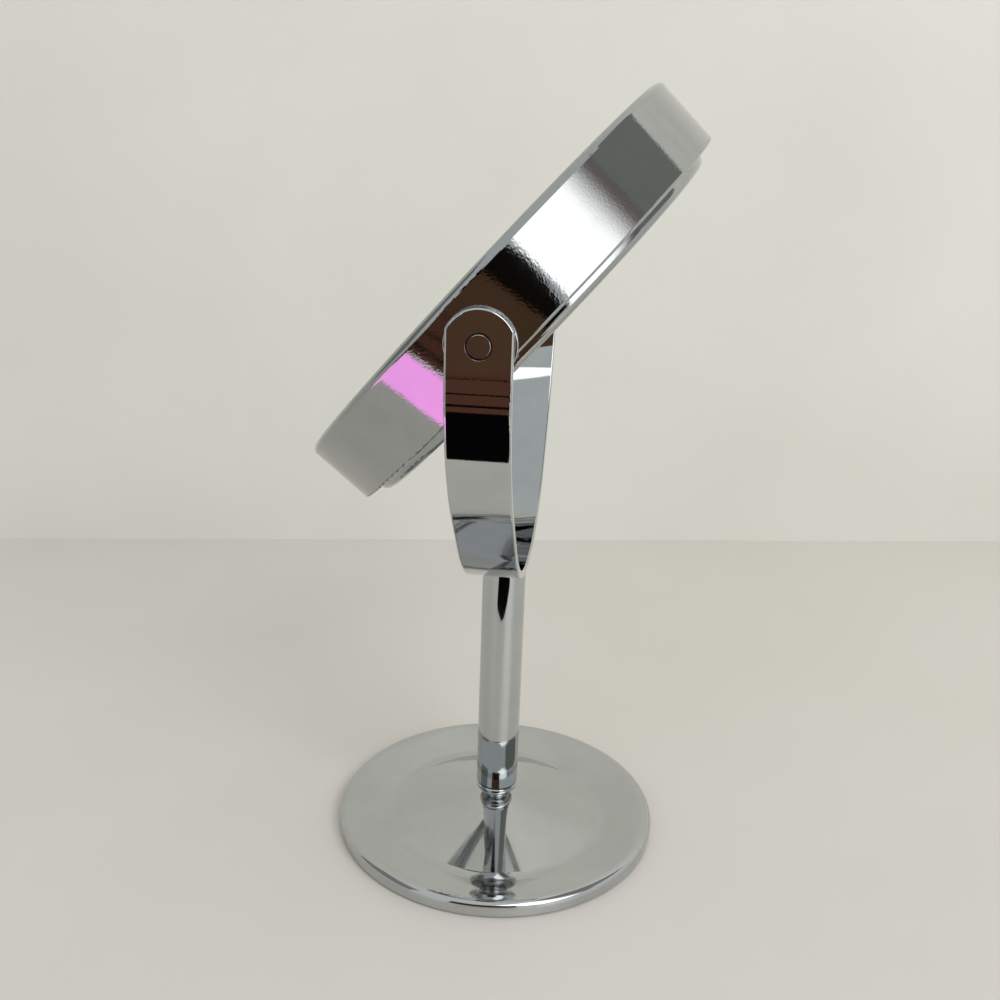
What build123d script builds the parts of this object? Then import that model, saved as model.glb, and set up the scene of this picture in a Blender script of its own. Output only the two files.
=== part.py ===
from build123d import *
from math import cos, radians, sin, sqrt, tan
import os

# Two-sided pedestal mirror: round head, U-shaped yoke, tube stem and dished round base.
# Millimetres, +Z up. The origin is the centre of the base's underside. X runs along the
# pivot axis, and the front of the mirror looks towards -Y and up, tilted as it was left.

# ---------------------------------------------------------------- driving dimensions
# base
base_radius = 55.5
rim_height = 5.5            # crest of the rim above the table
rim_round = 2.2             # rounded outer edge of the rim
rim_foot_round = 0.5
rim_lift = 0.4              # lower edge of the rim above the table
crest_width = 1.2           # level crest inside the rounded edge
crest_blend = 8.0           # blend from the crest into the dish
ring_width = 17.5           # outer edge to where the dish is lowest
valley_height = 1.6         # foot of the dish's two slopes above the table
valley_blend = 8.0          # blend between the two slopes
cone_top = 10.0             # where the inner slope meets the neck
cone_blend = 0.6
neck_radius = 4.3
cup_height = 3.2            # rounded cup between neck and stem
cup_lip = 0.6               # straight lip at the top of the cup
cup_fillet = 0.4            # under the cup, where it meets the neck
spigot_radius = 5.0         # centring spigot on top of the cup
spigot_height = 1.0
foot_pad_thickness = 0.8
foot_pad_margin = 4.5       # width of the rim's foot outside the pad
foot_pad_gap = 0.3          # round the pad in its recess
foot_pad_round = 0.3

# stem
stem_foot_height = 14.7     # lower end of the tube above the table
gasket_thickness = 0.5
gasket_inset = 0.5          # gasket edge inside the tube's outside
seat_gap = 0.1              # round pieces that centre one another
tube_radius = 7.2
tube_wall = 1.0
insert_length = 14.0
end_chamfer = 0.3

# yoke: flat strip bent to a U
strip_thickness = 2.5
strip_width = 16.8
strip_edge_round = 0.6
yoke_bend_radius = 62.0     # outside radius of each large bend
yoke_slope = 48.1           # degrees from the level, run between two bends
yoke_seat = 4.3             # half of the level run on the stem
ear_drop = 8.1              # straight run of an ear under the pivot axis
ear_radius = 9.25           # rounded top of an ear, about the pivot
ear_corner_round = 1.2
pivot_height = 183.0

# screws, with plain shanks
screw_radius = 2.0
screw_clearance = 0.15      # round a screw in a plain hole
thread_gap = 0.03           # round a screw in its thread
countersunk_radius = 3.8
countersunk_land = 0.3      # straight edge of the countersunk head
countersunk_sink = 0.1      # head under the face it is sunk in
screw_reach = 9.0           # length of thread taken up
pan_head_radius = 3.8
pan_head_height = 2.2
pan_head_round = 1.0
recess_length = 3.0         # cross recess, tip to tip
recess_width = 0.8
recess_depth = 1.2
washer_radius = 3.7
washer_thickness = 0.9
washer_slot = 0.8

# head: places along its own axis are counted from the pivot axis, front positive
head_tilt = 48.3            # degrees between the head's axis and the vertical
head_radius = 75.0
head_front = 14.1
bead_round = 2.2            # rounded front edge
bead_depth = 2.4
bead_step = 0.12            # fine crease between the front edge and the band
band_back = 8.0
band_draft = 2.0            # degrees, the band narrows towards the back
band_back_round = 0.8
shell_wall = 2.6
lip_width = 4.8             # front lip, from the rim's outside to its bore
lip_thickness = 1.5
lip_round = 0.6
glass_thickness = 2.0
glass_chamfer = 0.3
fit_gap = 0.2               # round each piece that drops into the shell
foam_thickness = 1.2
foam_width = 9.0
magnifier_radius = 700.0    # hollow of the back glass
bezel_inset = 6.4           # bezel's edge inside the rim's
bezel_cover = 1.6           # bezel's edge outside the hollow glass
bezel_width = 5.1           # visible width of the bezel
bezel_crest = 11.0          # behind the pivot axis
bezel_round = 2.0
bezel_level = 2.2           # level part of the crest at the outer edge
bezel_bore_height = 1.1     # bezel's inner edge under its crest
bezel_bore_round = 0.4
bezel_lip = 1.2
bezel_flange = 1.4
bezel_recess = 0.6          # flange sunk behind the band's edge
bezel_fillet = 0.5
core_web = 2.0
core_wall = 2.4
rib_length = 25.0           # hub ring to outer wall
core_ribs = 12
rib_back = 3.2              # back of the ribs behind the pivot axis
rib_thickness = 1.8

# pivots
pivot_pad_radius = 7.2      # flat pad on the band under each washer
pivot_pad_height = 0.7      # pad's face outside the band
pivot_pad_root = 0.6        # pad's start inside the shell's wall
pivot_pad_round = 0.3
pin_radius = 3.05
pin_clearance = 0.06
pin_proud = 0.05            # end of the pin outside the ear
pin_chamfer = 0.25
pin_thread_radius = 2.5
pin_thread_length = 9.0
ear_hole_chamfer = 0.3
friction_washer_radius = 9.2
friction_washer_thickness = 0.8
friction_washer_gap = 0.3   # free space between the washer and the ear
friction_washer_round = 0.25
bush_radius = 4.2
bush_length = 10.0
bush_inset = 0.4            # bush under the frame's outside
boss_radius = 5.8
boss_floor = 1.5            # closed end of a boss behind its bush

# ---------------------------------------------------------------- derived places
cup_top = stem_foot_height - gasket_thickness
cup_bottom = cup_top - cup_height
crest_radius = base_radius - rim_round
valley_radius = base_radius - ring_width
foot_pad_radius = base_radius - foot_pad_margin
clear_radius = screw_radius + screw_clearance
thread_radius = screw_radius + thread_gap
countersunk_top = foot_pad_thickness + countersunk_sink
countersunk_root = countersunk_top + countersunk_land + countersunk_radius - screw_radius
tube_bore = tube_radius - tube_wall
insert_radius = tube_bore - thread_gap
running_radius = pin_radius + pin_clearance

shell_bore = head_radius - shell_wall
lip_bore = head_radius - lip_width
bezel_radius = head_radius - bezel_inset
bezel_bore = bezel_radius - bezel_width
back_glass_radius = bezel_radius - bezel_cover
glass_front = head_front - lip_thickness
glass_back = glass_front - glass_thickness
core_front = glass_back - foam_thickness
core_radius = shell_bore - fit_gap
flange_back = bezel_recess - band_back
flange_front = flange_back + bezel_flange
band_front = head_front - bead_depth
band_radius = head_radius - bead_step
draft_ratio = tan(radians(band_draft))
band_back_radius = band_radius - draft_ratio * (band_front + band_back)
pivot_pad_face = band_radius - draft_ratio * band_front + pivot_pad_height
washer_face = pivot_pad_face + friction_washer_thickness
bush_face = core_radius - bush_inset
bezel_seat = bezel_bore_height + bezel_lip - bezel_crest
boss_start = bush_face - bush_length - boss_floor
core_hub_radius = core_radius - core_wall / 2 - rib_length
rib_inner = core_hub_radius - core_wall / 2
rib_outer = core_radius - core_wall / 2
core_web_front = (core_front - rib_back + core_web) / 2

# The yoke is as wide as the head needs, and its bends set how far it hangs under the pivot axis.
ear_inner = washer_face + friction_washer_gap
yoke_half_span = ear_inner + strip_thickness
lower_bend_span = yoke_seat + yoke_bend_radius * tan(radians(yoke_slope / 2))
upper_bend_run = yoke_bend_radius * tan(radians((90 - yoke_slope) / 2))
upper_bend_corner = pivot_height - ear_drop - upper_bend_run
stem_top = upper_bend_corner - (yoke_half_span - lower_bend_span) * tan(radians(yoke_slope))
tube_length = stem_top - stem_foot_height
yoke_floor = stem_top + strip_thickness
screw_seat = yoke_floor + washer_thickness
shoulder_height = sqrt(ear_radius ** 2 - (strip_width / 2) ** 2)
ear_top = pivot_height + ear_radius


def ball_depth(radius, ball):
    """How far a ball's surface has curved away at a distance from its axis."""
    return ball - sqrt(ball ** 2 - radius ** 2)


hollow_centre = bezel_seat + ball_depth(back_glass_radius, magnifier_radius)


def hollow_back(radius):
    """Place of the hollow glass's inner face at a distance from the axis."""
    return hollow_centre + glass_thickness - ball_depth(radius, magnifier_radius + glass_thickness)


# ---------------------------------------------------------------- planes of the head
head_normal = (0, -sin(radians(head_tilt)), cos(radians(head_tilt)))
head_across = (0, cos(radians(head_tilt)), sin(radians(head_tilt)))
head_centre = (0, 0, pivot_height)
head_plane = Plane(origin=head_centre, x_dir=(1, 0, 0), z_dir=head_normal)
head_section = Plane(origin=head_centre, x_dir=(1, 0, 0), z_dir=tuple(-c for c in head_across))
head_axis = Axis(head_centre, head_normal)


def pivot_plane(side, distance):
    """Plane square to the pivot axis, its normal pointing away from the head."""
    return Plane(origin=(side * distance, 0, pivot_height), x_dir=(0, 1, 0), z_dir=(side, 0, 0))


def corner(section, across, along):
    """Corner of a section nearest to a place in it."""
    return section.vertices().sort_by_distance((across, along, 0))[0]


def outer_rims(ring):
    """The two largest round edges of a ring."""
    return ring.edges().filter_by(GeomType.CIRCLE).sort_by(SortBy.RADIUS)[-2:]


def pivot_end(part, side):
    """Round edge of a part furthest out along the pivot axis on one side."""
    return part.edges().filter_by(GeomType.CIRCLE).sort_by(Axis((0, 0, 0), (side, 0, 0)))[-1]


def write(part, name):
    """Name a finished piece and write it."""
    part.label = name
    export_step(part, f"parts/{name}.step")


os.makedirs("parts", exist_ok=True)


# ================================================================ stand
# One-piece base: rounded rim, dish with a raised cone in it, neck and the cup under the stem.
with BuildPart() as base_casting:
    with BuildSketch(Plane.XZ) as base_section:
        with BuildLine():
            Polyline(
                (crest_radius - crest_width, rim_height),
                (base_radius, rim_height),
                (base_radius, rim_lift),
                (foot_pad_radius + foot_pad_gap, rim_lift),
                (foot_pad_radius + foot_pad_gap, foot_pad_thickness),
                (countersunk_radius + screw_clearance, foot_pad_thickness),
                (countersunk_radius + screw_clearance, countersunk_top + countersunk_land),
                (clear_radius, countersunk_root),
                (clear_radius, cup_top + spigot_height),
                (spigot_radius, cup_top + spigot_height),
                (spigot_radius, cup_top),
                (tube_radius, cup_top),
                (tube_radius, cup_top - cup_lip),
            )
            TangentArc((tube_radius, cup_top - cup_lip), (neck_radius, cup_bottom), tangent=(0, -1))
            Polyline(
                (neck_radius, cup_bottom),
                (neck_radius, cone_top),
                (valley_radius, valley_height),
                (crest_radius - crest_width, rim_height),
            )
        make_face()
        fillet(corner(base_section, base_radius, rim_height), rim_round)
        fillet(corner(base_section, base_radius, rim_lift), rim_foot_round)
        fillet(corner(base_section, crest_radius - crest_width, rim_height), crest_blend)
        fillet(corner(base_section, valley_radius, valley_height), valley_blend)
        fillet(corner(base_section, neck_radius, cone_top), cone_blend)
        fillet(corner(base_section, neck_radius, cup_bottom), cup_fillet)
        chamfer(corner(base_section, tube_radius, cup_top), end_chamfer)
    revolve(axis=Axis.Z)
write(base_casting.part, "base_casting")

# Foam pad in the recess under the base; the mirror stands on it.
with BuildPart() as foot_pad:
    with BuildSketch():
        Circle(foot_pad_radius)
    extrude(amount=foot_pad_thickness)
    fillet(foot_pad.edges().sort_by(Axis.Z)[0], foot_pad_round)
write(foot_pad.part, "foot_pad")

# Countersunk screw from under the base, up through the neck.
with BuildPart() as tie_screw:
    with BuildSketch(Plane.XZ):
        with BuildLine():
            Polyline(
                (0, countersunk_top),
                (countersunk_radius, countersunk_top),
                (countersunk_radius, countersunk_top + countersunk_land),
                (screw_radius, countersunk_root),
                (screw_radius, stem_foot_height + spigot_height + screw_reach),
                (0, stem_foot_height + spigot_height + screw_reach),
                close=True,
            )
        make_face()
    revolve(axis=Axis.Z)
    with BuildSketch(Plane.XY.offset(countersunk_top)):
        Rectangle(recess_length, recess_width)
        Rectangle(recess_width, recess_length)
    extrude(amount=recess_depth, mode=Mode.SUBTRACT)
write(tie_screw.part, "tie_screw")

# Dark washer between the cup and the stem, a little smaller than both.
with BuildPart() as stem_gasket:
    with BuildSketch(Plane.XY.offset(cup_top)):
        Circle(tube_radius - gasket_inset)
        Circle(spigot_radius + seat_gap, mode=Mode.SUBTRACT)
    extrude(amount=gasket_thickness)
write(stem_gasket.part, "stem_gasket")

with BuildPart() as stem_tube:
    with BuildSketch(Plane.XY.offset(stem_foot_height)):
        Circle(tube_radius)
        Circle(tube_bore, mode=Mode.SUBTRACT)
    extrude(amount=tube_length)
    chamfer(outer_rims(stem_tube), end_chamfer)
write(stem_tube.part, "stem_tube")

# Threaded plug in the lower end, counterbored for the cup's spigot.
with BuildPart() as lower_insert:
    with BuildSketch(Plane.XY.offset(stem_foot_height)):
        Circle(insert_radius)
        Circle(thread_radius, mode=Mode.SUBTRACT)
    extrude(amount=insert_length)
    with BuildSketch(Plane.XY.offset(stem_foot_height)):
        Circle(spigot_radius + seat_gap)
    extrude(amount=spigot_height - gasket_thickness + seat_gap, mode=Mode.SUBTRACT)
write(lower_insert.part, "lower_insert")

# Threaded plug in the upper end, level with the tube.
with BuildPart() as upper_insert:
    with BuildSketch(Plane.XY.offset(stem_top - insert_length)):
        Circle(insert_radius)
        Circle(thread_radius, mode=Mode.SUBTRACT)
    extrude(amount=insert_length)
write(upper_insert.part, "upper_insert")

# Strip bent to a U with four large bends, its ears rounded about the pivot axis.
with BuildPart() as yoke:
    with BuildSketch(Plane.XZ):
        with BuildLine():
            outside = FilletPolyline(
                (-yoke_half_span, ear_top),
                (-yoke_half_span, upper_bend_corner),
                (-lower_bend_span, stem_top),
                (lower_bend_span, stem_top),
                (yoke_half_span, upper_bend_corner),
                (yoke_half_span, ear_top),
                radius=yoke_bend_radius,
            )
            offset(outside, amount=strip_thickness, side=Side.LEFT)
        make_face()
    extrude(amount=strip_width / 2, both=True)
    with BuildSketch(Plane.YZ) as ear_outline:
        with Locations((0, pivot_height)):
            Circle(ear_radius)
            Rectangle(strip_width, pivot_height, align=(Align.CENTER, Align.MAX))
            Rectangle(strip_width, shoulder_height, align=(Align.CENTER, Align.MIN))
            Rectangle(strip_width, 2 * pivot_height, mode=Mode.INTERSECT)
        for edge_side in (-1, 1):
            shoulder = corner(ear_outline, edge_side * strip_width / 2, pivot_height + shoulder_height)
            fillet(shoulder, ear_corner_round)
    extrude(amount=2 * yoke_half_span, both=True, mode=Mode.INTERSECT)
    fillet(yoke.edges().filter_by(lambda e: e.length > strip_thickness + pin_chamfer), strip_edge_round)
    with BuildSketch(Plane.YZ):
        with Locations((0, pivot_height)):
            Circle(running_radius)
    extrude(amount=2 * yoke_half_span, both=True, mode=Mode.SUBTRACT)
    chamfer(yoke.edges(Select.LAST).filter_by(GeomType.CIRCLE), ear_hole_chamfer)
    with BuildSketch(Plane.XY.offset(stem_top)):
        Circle(clear_radius)
    extrude(amount=2 * strip_thickness, mode=Mode.SUBTRACT)
write(yoke.part, "yoke")

# Split spring washer under the yoke screw.
with BuildPart() as yoke_washer:
    with BuildSketch(Plane.XY.offset(yoke_floor)):
        Circle(washer_radius)
        Circle(clear_radius, mode=Mode.SUBTRACT)
        with Locations((0, washer_radius)):
            Rectangle(washer_slot, 2 * (washer_radius - screw_radius), mode=Mode.SUBTRACT)
    extrude(amount=washer_thickness)
write(yoke_washer.part, "yoke_washer")

# Pan-head screw in the bottom of the U.
with BuildPart() as yoke_screw:
    with BuildSketch(Plane.XY.offset(stem_top - screw_reach)):
        Circle(screw_radius)
    extrude(amount=screw_seat - stem_top + screw_reach)
    with BuildSketch(Plane.XY.offset(screw_seat)):
        Circle(pan_head_radius)
    extrude(amount=pan_head_height)
    fillet(yoke_screw.edges().sort_by(Axis.Z)[-1], pan_head_round)
    with BuildSketch(Plane.XY.offset(screw_seat + pan_head_height)):
        Rectangle(recess_length, recess_width)
        Rectangle(recess_width, recess_length)
    extrude(amount=-recess_depth, mode=Mode.SUBTRACT)
write(yoke_screw.part, "yoke_screw")

# ================================================================ head
# Wide moulded band with a rounded front edge, a lip for the glass and two pivot pads.
with BuildPart() as rim_shell:
    with BuildSketch(head_section) as band_section:
        with BuildLine():
            Polyline(
                (lip_bore, head_front),
                (head_radius, head_front),
                (head_radius, band_front),
                (band_radius, band_front),
                (band_back_radius, -band_back),
                (shell_bore, -band_back),
                (shell_bore, glass_front),
                (lip_bore, glass_front),
                close=True,
            )
        make_face()
        fillet(corner(band_section, head_radius, head_front), bead_round)
        fillet(corner(band_section, lip_bore, head_front), lip_round)
        fillet(corner(band_section, band_back_radius, -band_back), band_back_round)
    revolve(axis=head_axis)
    for side in (1, -1):
        with BuildSketch(pivot_plane(side, shell_bore + pivot_pad_root)):
            Circle(pivot_pad_radius)
        extrude(amount=pivot_pad_face - shell_bore - pivot_pad_root)
        fillet(pivot_end(rim_shell, side), pivot_pad_round)
    with BuildSketch(Plane.YZ):
        with Locations((0, pivot_height)):
            Circle(running_radius)
    extrude(amount=2 * head_radius, both=True, mode=Mode.SUBTRACT)
write(rim_shell.part, "rim_shell")

# Plain mirror glass behind the lip.
with BuildPart() as front_glass:
    with BuildSketch(head_plane.offset(glass_back)):
        Circle(core_radius)
    extrude(amount=glass_thickness)
    chamfer(front_glass.edges().filter_by(GeomType.CIRCLE), glass_chamfer)
write(front_glass.part, "front_glass")

# Foam ring behind the front glass.
with BuildPart() as front_foam:
    with BuildSketch(head_plane.offset(core_front)):
        Circle(core_radius)
        Circle(core_radius - foam_width, mode=Mode.SUBTRACT)
    extrude(amount=foam_thickness)
write(front_foam.part, "front_foam")

# Ribbed frame between the glasses: outer wall, web, hub ring, ribs and two pivot bosses.
with BuildPart() as core_frame:
    with BuildSketch(head_plane.offset(flange_front)):
        Circle(core_radius)
        Circle(core_radius - core_wall, mode=Mode.SUBTRACT)
    extrude(amount=core_front - flange_front)
    with BuildSketch(head_plane.offset(core_web_front - core_web)):
        Circle(core_radius - core_wall / 2)
    extrude(amount=core_web)
    with BuildSketch(head_plane.offset(-rib_back)):
        Circle(core_hub_radius)
        Circle(core_hub_radius - core_wall, mode=Mode.SUBTRACT)
        with PolarLocations((rib_inner + rib_outer) / 2, core_ribs, start_angle=180 / core_ribs):
            Rectangle(rib_outer - rib_inner, rib_thickness)
    extrude(amount=core_front + rib_back)
    for side in (1, -1):
        with BuildSketch(pivot_plane(side, boss_start)):
            Circle(boss_radius)
        extrude(amount=core_radius - boss_start)
    with BuildSketch(head_plane.offset(-core_radius)):
        Circle(core_radius)
    extrude(amount=2 * core_radius, mode=Mode.INTERSECT)
    for side in (1, -1):
        with BuildSketch(pivot_plane(side, bush_face - bush_length)):
            Circle(bush_radius + thread_gap)
        extrude(amount=core_radius, mode=Mode.SUBTRACT)
write(core_frame.part, "core_frame")

# Foam ring between the frame and the hollow glass, its back face curved to the glass.
with BuildPart() as back_foam:
    with BuildSketch(head_section):
        with BuildLine():
            Polyline(
                (core_hub_radius, hollow_back(core_hub_radius) + seat_gap),
                (core_hub_radius, -rib_back),
                (core_hub_radius + foam_width, -rib_back),
                (core_hub_radius + foam_width, hollow_back(core_hub_radius + foam_width) + seat_gap),
            )
            ThreePointArc(
                (core_hub_radius + foam_width, hollow_back(core_hub_radius + foam_width) + seat_gap),
                (core_hub_radius + foam_width / 2, hollow_back(core_hub_radius + foam_width / 2) + seat_gap),
                (core_hub_radius, hollow_back(core_hub_radius) + seat_gap),
            )
        make_face()
    revolve(axis=head_axis)
write(back_foam.part, "back_foam")

# Magnifying glass: an even sheet bent to a shallow hollow, open to the back.
with BuildPart() as back_glass:
    with BuildSketch(head_section):
        with BuildLine():
            Line((0, hollow_centre), (0, hollow_back(0)))
            ThreePointArc(
                (0, hollow_back(0)),
                (back_glass_radius / 2, hollow_back(back_glass_radius / 2)),
                (back_glass_radius, hollow_back(back_glass_radius)),
            )
            Line((back_glass_radius, hollow_back(back_glass_radius)), (back_glass_radius, bezel_seat))
            ThreePointArc(
                (back_glass_radius, bezel_seat),
                (back_glass_radius / 2, hollow_centre - ball_depth(back_glass_radius / 2, magnifier_radius)),
                (0, hollow_centre),
            )
        make_face()
    revolve(axis=head_axis)
write(back_glass.part, "back_glass")

# Low domed ring that closes the back and holds the hollow glass.
with BuildPart() as back_bezel:
    with BuildSketch(head_section) as bezel_section:
        with BuildLine():
            Polyline(
                (bezel_bore, bezel_bore_height - bezel_crest),
                (bezel_bore, bezel_seat),
                (back_glass_radius + fit_gap, bezel_seat),
                (back_glass_radius + fit_gap, flange_front),
                (core_radius, flange_front),
                (core_radius, flange_back),
                (bezel_radius, flange_back),
                (bezel_radius, -bezel_crest),
                (bezel_radius - bezel_level, -bezel_crest),
            )
            TangentArc(
                (bezel_radius - bezel_level, -bezel_crest),
                (bezel_bore, bezel_bore_height - bezel_crest),
                tangent=(-1, 0),
            )
        make_face()
        fillet(corner(bezel_section, bezel_radius, -bezel_crest), bezel_round)
        fillet(corner(bezel_section, bezel_radius, flange_back), bezel_fillet)
        fillet(corner(bezel_section, bezel_bore, bezel_bore_height - bezel_crest), bezel_bore_round)
    revolve(axis=head_axis)
write(back_bezel.part, "back_bezel")

# ================================================================ pivots, one set on each side
for side, name in ((1, "right"), (-1, "left")):
    # Threaded bush in the frame's boss.
    with BuildPart() as pivot_bush:
        with BuildSketch(pivot_plane(side, bush_face - bush_length)):
            Circle(bush_radius)
            Circle(pin_thread_radius + thread_gap, mode=Mode.SUBTRACT)
        extrude(amount=bush_length)
    write(pivot_bush.part, f"pivot_bush_{name}")

    # Turned pin: its shoulder seats on the bush and its end is level with the ear.
    with BuildPart() as pivot_pin:
        with BuildSketch(pivot_plane(side, bush_face - pin_thread_length)):
            Circle(pin_thread_radius)
        extrude(amount=pin_thread_length)
        with BuildSketch(pivot_plane(side, bush_face)):
            Circle(pin_radius)
        extrude(amount=yoke_half_span + pin_proud - bush_face)
        chamfer(pivot_end(pivot_pin, side), pin_chamfer)
    write(pivot_pin.part, f"pivot_pin_{name}")

    # Washer between the pad and the ear, as large as the ear's round end.
    with BuildPart() as friction_washer:
        with BuildSketch(pivot_plane(side, pivot_pad_face)):
            Circle(friction_washer_radius)
            Circle(running_radius, mode=Mode.SUBTRACT)
        extrude(amount=washer_face - pivot_pad_face)
        fillet(outer_rims(friction_washer), friction_washer_round)
    write(friction_washer.part, f"friction_washer_{name}")
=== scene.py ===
from math import cos, radians, sin

import bpy
from mathutils import Matrix, Vector

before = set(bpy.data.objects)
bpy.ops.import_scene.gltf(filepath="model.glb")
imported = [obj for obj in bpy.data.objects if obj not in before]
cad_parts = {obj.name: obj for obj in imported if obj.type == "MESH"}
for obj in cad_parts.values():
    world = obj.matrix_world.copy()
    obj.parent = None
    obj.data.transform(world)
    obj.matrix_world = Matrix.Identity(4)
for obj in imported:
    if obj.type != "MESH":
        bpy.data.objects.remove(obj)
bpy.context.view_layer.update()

# Looks of the two-sided pedestal mirror, built on its imported CAD model. Metres, +Z up, X along
# the pivot axis. Each CAD piece keeps its shape and gets the finish of the real one. The stage
# is a pale table and wall under one large soft lamp, with glowing cards that show only in bright
# metal: painted reflections of the room around.

MM = 0.001
UM = MM * MM


# ------------------------------------------------------------------ helpers
def linear(hex_colour):
    """An sRGB hex colour as the linear colour that the shaders take."""
    parts = [int(hex_colour[i:i + 2], 16) / 255 for i in (1, 3, 5)]
    return [p / 12.92 if p <= 0.04045 else ((p + 0.055) / 1.055) ** 2.4 for p in parts] + [1.0]


def add(tree, kind, inputs=None, **settings):
    """Add one node: settings are its own, inputs are values, or sockets that it is linked to."""
    new = tree.nodes.new(kind)
    for name, value in settings.items():
        setattr(new, name, value)
    for name, value in (inputs or {}).items():
        if isinstance(value, bpy.types.NodeSocket):
            tree.links.new(value, new.inputs[name])
        else:
            new.inputs[name].default_value = value
    return new


def blank(name):
    """A material with an empty tree."""
    material = bpy.data.materials.new(name)
    material.use_nodes = True
    material.node_tree.nodes.clear()
    return material, material.node_tree


def finish_node(node_name, material):
    """Give a CAD piece its finish."""
    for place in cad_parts[node_name].material_slots:
        place.material = material


def pattern(tree, size_mm, detail=2.0, rough=0.5, stretch=(1, 1, 1)):
    """Noise whose lumps are about size_mm across on the object itself."""
    place = add(tree, "ShaderNodeTexCoord").outputs["Object"]
    place = add(tree, "ShaderNodeMapping", {"Vector": place, "Scale": stretch}).outputs["Vector"]
    return add(tree, "ShaderNodeTexNoise", {
        "Vector": place, "Scale": 1 / (size_mm * MM), "Detail": detail, "Roughness": rough,
    }).outputs["Fac"]


def varied(tree, low, high, size_mm, start=0.3, end=0.7, **noise):
    """A number that goes from low to high with the middle of a pattern."""
    return add(tree, "ShaderNodeMapRange", {
        "Value": pattern(tree, size_mm, **noise),
        "From Min": start, "From Max": end, "To Min": low, "To Max": high,
    }).outputs["Result"]


def clouded(tree, first, second, size_mm, start=0.3, end=0.7, **noise):
    """A colour that goes from the first to the second with the middle of a pattern."""
    factor = varied(tree, 0, 1, size_mm, start, end, **noise)
    return add(tree, "ShaderNodeMix", {0: factor, 6: linear(first), 7: linear(second)},
               data_type="RGBA").outputs[2]


def uneven(tree, size_mm, depth_um, **noise):
    """A surface with small hills and hollows, about size_mm across."""
    return add(tree, "ShaderNodeBump", {
        "Height": pattern(tree, size_mm, **noise), "Distance": depth_um * UM,
    }).outputs["Normal"]


# ------------------------------------------------------------------ finishes
def bright_plating(name, bright, dull, rough_low, rough_high, peel_mm, peel_um, smear_mm=14.0,
                   stretch=(1, 1, 1)):
    """Chromium plating: a mirror finish whose reflections waver on the surface under it.

    The plating follows that surface, so its ripple, peel_mm across and peel_um deep, breaks
    up the edges of reflections. Handling leaves smears, a little duller than the rest.
    """
    material, tree = blank(name)
    shader = add(tree, "ShaderNodeBsdfPrincipled", {
        "Base Color": clouded(tree, bright, dull, smear_mm, detail=4.0, rough=0.6),
        "Metallic": 1.0,
        "Roughness": varied(tree, rough_low, rough_high, smear_mm / 3, detail=5.0, rough=0.65),
        "Normal": uneven(tree, peel_mm, peel_um, detail=1.0, stretch=stretch),
    })
    add(tree, "ShaderNodeOutputMaterial", {"Surface": shader.outputs["BSDF"]})
    return material


def silvered_glass():
    """Float glass silvered behind: a true reflection, a shade green, with dust and wiping marks."""
    material, tree = blank("silvered_glass")
    shader = add(tree, "ShaderNodeBsdfPrincipled", {
        "Base Color": clouded(tree, "#E9EDEA", "#CFD2CE", 0.7, 0.72, 0.8, detail=1.0),
        "Metallic": 1.0,
        "Roughness": varied(tree, 0.004, 0.02, 9.0, detail=5.0, rough=0.6, stretch=(1, 0.3, 0.3)),
    })
    add(tree, "ShaderNodeOutputMaterial", {"Surface": shader.outputs["BSDF"]})
    return material


def plain_polymer(name, colour, worn, grain_mm, grain_um, rough_low, rough_high):
    """Moulded plastic or foam: a fine grain, and rubbed places a little lighter and smoother."""
    material, tree = blank(name)
    rubbed_mm = grain_mm * 20
    shader = add(tree, "ShaderNodeBsdfPrincipled", {
        "Base Color": clouded(tree, colour, worn, rubbed_mm, detail=4.0), "IOR": 1.5,
        "Roughness": varied(tree, rough_high, rough_low, rubbed_mm, detail=4.0),
        "Normal": uneven(tree, grain_mm, grain_um),
    })
    add(tree, "ShaderNodeOutputMaterial", {"Surface": shader.outputs["BSDF"]})
    return material


def turned_metal(name, bright, dull, rough_low, rough_high):
    """Metal left as the lathe or the plating barrel left it: fine marks and a soft shine."""
    material, tree = blank(name)
    mark_mm = 0.25
    shader = add(tree, "ShaderNodeBsdfPrincipled", {
        "Base Color": clouded(tree, bright, dull, 2.5, detail=4.0), "Metallic": 1.0,
        "Roughness": varied(tree, rough_low, rough_high, mark_mm, detail=1.0),
        "Normal": uneven(tree, mark_mm, 1.5, detail=1.0),
    })
    add(tree, "ShaderNodeOutputMaterial", {"Surface": shader.outputs["BSDF"]})
    return material


# Plating on moulded ABS keeps the orange peel of the moulding, so the edges of its reflections
# are grainy. The peel is about 0.4 mm across and drawn at 0.6 mm, so that it shows.
plated_abs = bright_plating("plated_abs", "#AEB1B1", "#A5A8A8", 0.035, 0.07, 0.6, 12.0)
# The cast base was buffed before plating: hardly any ripple, a few smears.
plated_casting = bright_plating("plated_casting", "#C2C5C5", "#BBBEBE", 0.03, 0.08, 2.5, 1.2)
# Drawn tube keeps faint long draw lines under the plating.
plated_tube = bright_plating("plated_tube", "#C2C5C6", "#BABDBE", 0.03, 0.07, 0.8, 0.5,
                             stretch=(1, 1, 0.05))
# Polished strip: smooth, with a fine tooth left from the polishing wheel.
plated_strip = bright_plating("plated_strip", "#C3C5C6", "#BBBDBF", 0.02, 0.05, 0.5, 1.2)
# Turned pins were plated as they came off the lathe, a little duller than the strip.
plated_pin = bright_plating("plated_pin", "#C0C2C4", "#B4B6B9", 0.05, 0.12, 0.6, 0.6, 4.0)
mirror_glass = silvered_glass()
# Dull black plastic: a thin dark line at the stem's foot, and the frame inside the head.
black_washer = plain_polymer("black_washer", "#121213", "#1E1E20", 0.3, 8.0, 0.45, 0.65)
moulded_abs = plain_polymer("moulded_abs", "#1A1A1B", "#262627", 0.4, 10.0, 0.4, 0.6)
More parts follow.
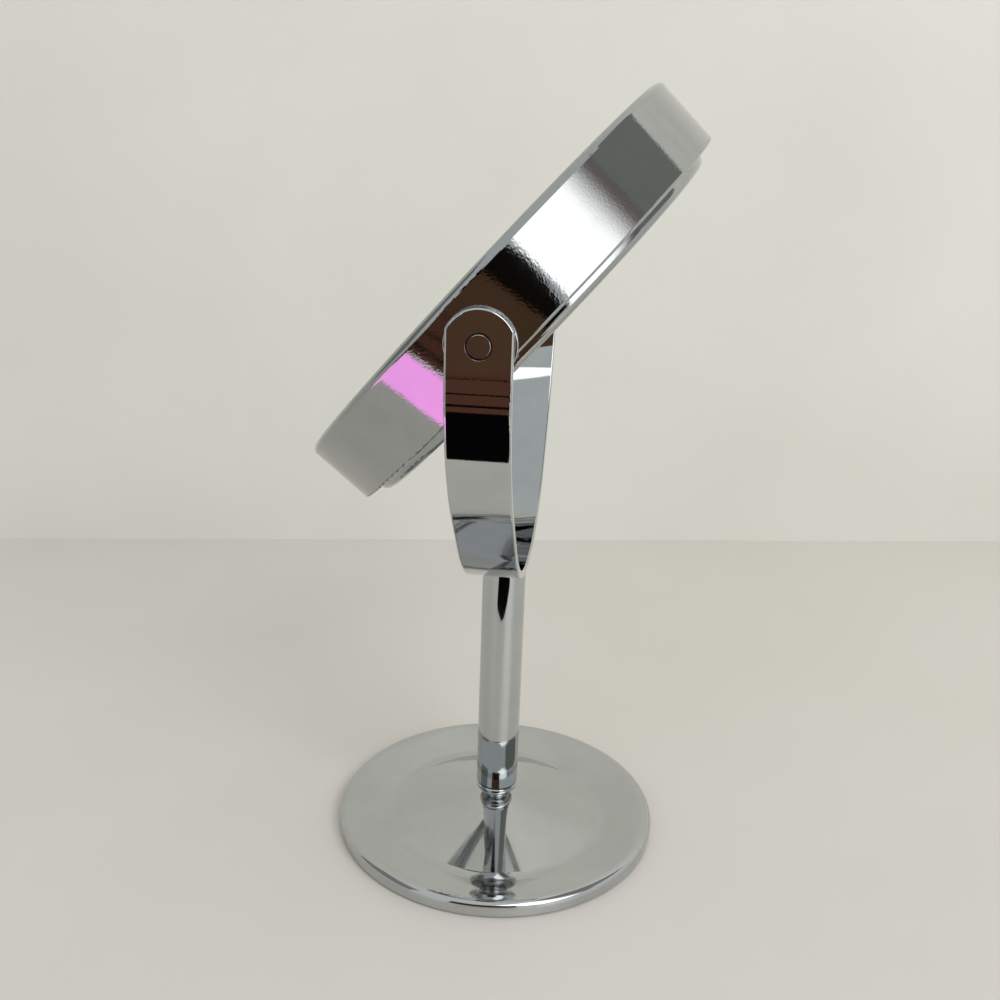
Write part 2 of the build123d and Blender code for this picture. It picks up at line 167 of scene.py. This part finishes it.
# Foam shows small cells, about 0.4 mm across, and has no shine.
closed_foam = plain_polymer("closed_foam", "#2A2A2C", "#38383A", 0.5, 60.0, 0.8, 0.95)
foot_foam = plain_polymer("foot_foam", "#141414", "#242424", 0.35, 50.0, 0.8, 0.95)
# Zinc plating is greyer and softer than the bright parts; steel and brass are bare.
zinc_plated = turned_metal("zinc_plated", "#A9ACAF", "#8E9296", 0.25, 0.4)
turned_steel = turned_metal("turned_steel", "#9B9DA0", "#87898C", 0.25, 0.38)
turned_brass = turned_metal("turned_brass", "#C9A862", "#B08F4C", 0.22, 0.35)

for node_name in ("rim_shell", "back_bezel"):
    finish_node(node_name, plated_abs)
for node_name in ("front_glass", "back_glass"):
    finish_node(node_name, mirror_glass)
for node_name in ("front_foam", "back_foam"):
    finish_node(node_name, closed_foam)
for node_name in ("tie_screw", "yoke_screw", "yoke_washer"):
    finish_node(node_name, zinc_plated)
for node_name in ("lower_insert", "upper_insert"):
    finish_node(node_name, turned_steel)
for hand in ("right", "left"):
    finish_node(f"pivot_bush_{hand}", turned_brass)
    finish_node(f"pivot_pin_{hand}", plated_pin)
    finish_node(f"friction_washer_{hand}", plated_strip)
finish_node("base_casting", plated_casting)
finish_node("foot_pad", foot_foam)
finish_node("stem_gasket", black_washer)
finish_node("stem_tube", plated_tube)
finish_node("yoke", plated_strip)
finish_node("core_frame", moulded_abs)


# ------------------------------------------------------------------ stage
HEAD_PLACE = Vector((0, 0, 0.183))

# The wall's foot crosses the X axis behind the mirror, a little askew: level in the picture.
WALL_FOOT, WALL_SKEW = -0.290, -0.202
FAR, WALL_TOP = 1.6, 1.2

# Painted reflections: level glowing cards in front of the table's edge, upright ones across the
# room.
TABLE_EDGE, BLACK_END, FLOOR_END = 0.178, 0.38, 0.95
SIDE, SLAT_WIDTH = 0.36, 0.022
CARD_LIFT, UPPER_CARD_LIFT = 1 * MM, 2 * MM
BROWN_TOP, BLACK_TOP = 0.29, 0.49
CEILING, LEFT_ROOM = 1.1, -1.3


def sheet_of(name, corners, material):
    """A flat four-cornered sheet of the stage."""
    mesh = bpy.data.meshes.new(name)
    mesh.from_pydata([Vector(c) for c in corners], [], [(0, 1, 2, 3)])
    mesh.materials.append(material)
    sheet = bpy.data.objects.new(name, mesh)
    bpy.context.collection.objects.link(sheet)
    return sheet


def level_corners(x_range, y_range, height):
    """Corners of a level sheet."""
    (x_low, x_high), (y_low, y_high) = x_range, y_range
    return [(x_low, y_low, height), (x_high, y_low, height), (x_high, y_high, height),
            (x_low, y_high, height)]


def upright_corners(start, end, z_range):
    """Corners of an upright sheet over a line on the floor."""
    z_low, z_high = z_range
    return [(*start, z_low), (*end, z_low), (*end, z_high), (*start, z_high)]


def one_sided(tree, surface):
    """Show a surface from its front alone, so that views from behind look through it."""
    clear = add(tree, "ShaderNodeBsdfTransparent").outputs["BSDF"]
    behind = add(tree, "ShaderNodeNewGeometry").outputs["Backfacing"]
    mixed = add(tree, "ShaderNodeMixShader", {0: behind, 1: surface, 2: clear}).outputs[0]
    add(tree, "ShaderNodeOutputMaterial", {"Surface": mixed})


def pale_board(name, colour, shade, rough_low, rough_high, shine):
    """Pale painted board, hardly clouded; its shine shows only at a slant."""
    material, tree = blank(name)
    shader = add(tree, "ShaderNodeBsdfPrincipled", {
        "Base Color": clouded(tree, colour, shade, 180.0, detail=3.0),
        "Specular IOR Level": shine,
        "Roughness": varied(tree, rough_low, rough_high, 25.0, detail=4.0),
    })
    one_sided(tree, shader.outputs["BSDF"])
    return material


def fading(tree, near_colour, far_colour):
    """Fade from one colour to the other along a card, as X falls."""
    place = add(tree, "ShaderNodeTexCoord").outputs["Generated"]
    along = add(tree, "ShaderNodeSeparateXYZ", {0: place}).outputs["X"]
    fade = add(tree, "ShaderNodeMapRange", {"Value": along, "From Min": 0.5, "From Max": 0.12},
               interpolation_type="SMOOTHSTEP").outputs["Result"]
    return add(tree, "ShaderNodeMix", {0: fade, 6: linear(near_colour), 7: linear(far_colour)},
               data_type="RGBA").outputs[2]


def reflection_card(name, corners, colour, far_colour=None, strength=1.0):
    """Glowing card out of the picture, facing the head: a painted reflection seen only in bright
    metal.
    """
    corners = [Vector(c) for c in corners]
    normal = (corners[1] - corners[0]).cross(corners[2] - corners[1])
    if normal.dot(HEAD_PLACE - corners[0]) < 0:
        corners.reverse()
    painted_reflection, tree = blank(name + "_paper")
    glow = add(tree, "ShaderNodeEmission", {
        "Color": fading(tree, colour, far_colour) if far_colour else linear(colour),
        "Strength": strength,
    })
    one_sided(tree, glow.outputs["Emission"])
    card = sheet_of(name, corners, painted_reflection)
    card.visible_camera = False
    card.visible_diffuse = False
    card.visible_shadow = False
    card.visible_transmission = False


wall_start = (WALL_FOOT - WALL_SKEW * FAR, -FAR)
wall_end = (WALL_FOOT + WALL_SKEW * FAR, FAR)
# Lacquered table: matt to the eye, with a broad shine that the tube mirrors as a pale stripe.
sheet_of("table_top", [(*wall_start, 0), (FAR, -FAR, 0), (FAR, FAR, 0), (*wall_end, 0)],
         pale_board("table_lacquer", "#D5D1CA", "#D0CCC4", 0.3, 0.36, 0.5))
# Matt wall paint, a shade lighter and yellower than the table.
sheet_of("wall", upright_corners(wall_start, wall_end, (0, WALL_TOP)),
         pale_board("wall_paint", "#E1E0D8", "#DAD9D0", 0.8, 0.9, 0.1))

# Dark in front of the table's edge, painted into the metal's reflections: the metal needs something
# dark to stand out against.
reflection_card("black_floor_card",
                level_corners((TABLE_EDGE, BLACK_END), (-0.085, 0.14), CARD_LIFT), "#090808")
# A glowing brown floor, dark slats and a glowing pink patch: painted reflections in the metal.
reflection_card("brown_floor_card",
                level_corners((BLACK_END, FLOOR_END), (-SIDE, SIDE), CARD_LIFT), "#5E3D31")
for number, near in enumerate((0.42, 0.555, 0.89)):
    slat = level_corners((near, near + SLAT_WIDTH), (-SIDE, SIDE), UPPER_CARD_LIFT)
    reflection_card(f"dark_slat_card_{number}", slat, "#0D0A09")
reflection_card("pink_floor_card", level_corners((0.215, 0.36), (-0.32, -0.1), UPPER_CARD_LIFT),
                "#F9A2EF", strength=2.1)

# Painted reflection of the far side of the room: glowing brown below and a black strip over it.
room_start, room_end = (FLOOR_END, -SIDE), (FLOOR_END, SIDE)
reflection_card("brown_room_card",
                upright_corners(room_start, room_end, (0, BROWN_TOP)), "#5A4231")
reflection_card("black_room_card",
                upright_corners(room_start, room_end, (BROWN_TOP, BLACK_TOP)), "#15120E")
# Painted reflection of a grey ceiling beyond the window and a grey room to the left.
reflection_card("ceiling_card", level_corners((-1.0, 0.3), (0.35, FAR), CEILING), "#8C8E88")
reflection_card("left_room_card",
                upright_corners((-0.4, LEFT_ROOM), (1.2, LEFT_ROOM), (0.1, 1.5)), "#8C8D8C")

# The window as a painted reflection: a card glowing white, fading to grey towards the ceiling.
# Its two ends are directions.
WINDOW_NEAR, WINDOW_FAR = Vector((0.92, 0.33, 0.24)), Vector((0.12, 0.71, 0.69))
WINDOW_PLACE, WINDOW_HALF_LENGTH, WINDOW_HALF_WIDTH = 2.0, 0.95, 0.8
window_middle = (WINDOW_NEAR + WINDOW_FAR).normalized()
window_along = (WINDOW_FAR - WINDOW_NEAR).normalized()
window_across = window_middle.cross(window_along).normalized()
window_corners = [
    HEAD_PLACE + WINDOW_PLACE * window_middle
    + along * WINDOW_HALF_LENGTH * window_along + across * WINDOW_HALF_WIDTH * window_across
    for along, across in ((-1, -1), (1, -1), (1, 1), (-1, 1))
]
reflection_card("window_card", window_corners, "#FFFFFF", "#56504F", strength=2.6)


# ------------------------------------------------------------------ light
def room_light():
    """Even pale light all round."""
    world = bpy.data.worlds.new("room")
    bpy.context.scene.world = world
    world.use_nodes = True
    tree = world.node_tree
    tree.nodes.clear()
    sky = add(tree, "ShaderNodeBackground", {"Color": linear("#E2E4E6"), "Strength": 0.93})
    add(tree, "ShaderNodeOutputWorld", {"Surface": sky.outputs["Background"]})


def window_lamp():
    """One large soft lamp, high behind the camera's right; metal shows the window card instead."""
    light = bpy.data.lights.new("window_lamp", "AREA")
    light.shape = "RECTANGLE"
    light.size = 1.4
    light.size_y = 1.1
    light.energy = 23.0
    lamp = bpy.data.objects.new("window_lamp", light)
    bpy.context.collection.objects.link(lamp)
    lamp.visible_glossy = False
    aimed_at, distance = Vector((0, 0, 0.15)), 2.2
    towards = Vector((0.554, 0.567, 0.610)).normalized()
    lamp.location = aimed_at + towards * distance
    lamp.rotation_euler = towards.to_track_quat("Z", "Y").to_euler()


# ------------------------------------------------------------------ camera
def camera():
    """The photograph's place, direction and lens, from a fit of the object's outlines."""
    eye = Vector((0.3248, 0.0334, 0.2263))
    heading, drop, tilt = radians(6.266), radians(18.133), radians(1.964)
    focal_px, picture_px = 1050.6, 1000
    ahead = Vector((-cos(heading) * cos(drop), -sin(heading) * cos(drop), -sin(drop)))
    level = ahead.cross(Vector((0, 0, 1))).normalized()
    upright = level.cross(ahead)
    right = cos(tilt) * level + sin(tilt) * upright
    up = -sin(tilt) * level + cos(tilt) * upright
    lens = bpy.data.cameras.new("camera")
    lens.sensor_width = 36.0
    lens.lens = focal_px * lens.sensor_width / picture_px
    lens.clip_start = 0.01
    eye_object = bpy.data.objects.new("camera", lens)
    bpy.context.collection.objects.link(eye_object)
    turn = Matrix((right, up, -ahead)).transposed()
    eye_object.matrix_world = Matrix.Translation(eye) @ turn.to_4x4()
    bpy.context.scene.camera = eye_object


room_light()
window_lamp()
camera()
bpy.context.scene.view_settings.view_transform = "Standard"
